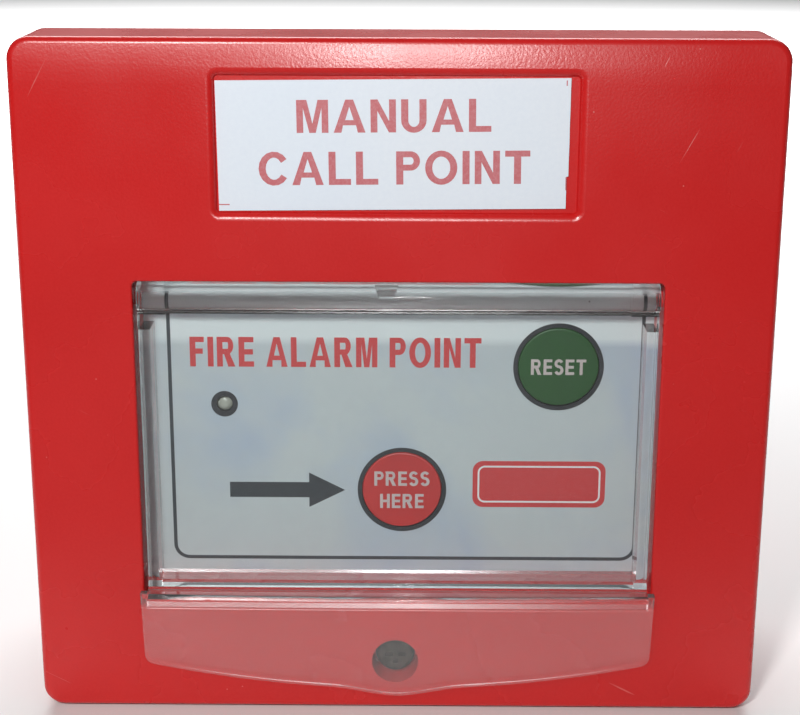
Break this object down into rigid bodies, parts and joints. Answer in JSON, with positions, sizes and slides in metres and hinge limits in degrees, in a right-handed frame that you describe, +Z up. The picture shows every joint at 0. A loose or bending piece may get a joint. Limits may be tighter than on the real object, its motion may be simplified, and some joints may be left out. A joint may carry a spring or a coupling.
{
  "type": "manual call point",
  "caption": "Wall-mounted manual call point: red box and cover, clear lift-up flap over a white facia with press and reset buttons and a status lamp.",
  "frame": {"origin": "centre of the rear face that lies against the wall", "axes": "+X right as seen by a person facing the call point, +Y into the wall, +Z up; the front faces -Y"},
  "size_m": [0.1102, 0.048, 0.1032],
  "materials": {
    "red_housing": "fine satin grain moulded red plastic",
    "clear_flap": "clear polished plastic",
    "label_paper": "white printed sticker",
    "facia_white": "white moulded plastic",
    "facia_film": "pale grey-white printed film",
    "black_plastic": "satin black plastic",
    "press_red": "red moulded button",
    "reset_green": "dark green moulded button",
    "dark_steel": "dull black-oxide steel",
    "plated_steel": "zinc plated steel",
    "brass": "turned brass",
    "rubber": "black rubber",
    "board_green": "green lacquered circuit board",
    "terminal_green": "green moulded plastic",
    "relay_blue": "blue relay case",
    "capacitor_sleeve": "dark blue shrink sleeve",
    "resistor_body": "tan lacquered body",
    "lamp_lens": "pale unlit lamp lens"
  },
  "bodies": {
    "housing": {"back_box": "red_housing", "board_screws": "plated_steel", "cable_grommet": "rubber", "capacitor": "capacitor_sleeve", "circuit_board": "board_green", "cover_screw": "dark_steel", "diode": "black_plastic", "facia_overlay": "facia_film", "facia_panel": "facia_white", "facia_screws": "plated_steel", "front_cover": "red_housing", "lamp_bezel": "black_plastic", "logic_chip": "black_plastic", "press_bezel": "black_plastic", "press_return_spring": "plated_steel", "press_switch": "black_plastic", "relay": "relay_blue", "reset_bezel": "black_plastic", "reset_return_spring": "plated_steel", "reset_switch": "black_plastic", "resistors": "resistor_body", "status_lamp": "lamp_lens", "terminal_block": "terminal_green", "terminal_screws": "plated_steel", "threaded_insert": "brass", "title_label": "label_paper"},
    "flap": {"flap": "clear_flap"},
    "press_button": {"press_button": "press_red", "press_switch_plunger": "black_plastic"},
    "reset_button": {"reset_button": "reset_green", "reset_switch_plunger": "black_plastic"}
  },
  "joints": [
    {"name": "flap_hinge", "type": "hinge", "parent": "housing", "child": "flap", "pos_m": [0, -0.04235, 0.0138], "axis": [-1, 0, 0], "range_deg": [0, 90]},
    {"name": "press_travel", "type": "slide", "parent": "housing", "child": "press_button", "axis": [0, 1, 0], "range_m": [0, 0.001], "stiffness_N_per_m": 900, "springref_m": -0.001, "deforming": ["press_return_spring"]},
    {"name": "reset_travel", "type": "slide", "parent": "housing", "child": "reset_button", "axis": [0, 1, 0], "range_m": [0, 0.001], "stiffness_N_per_m": 900, "springref_m": -0.001, "deforming": ["reset_return_spring"]}
  ]
}
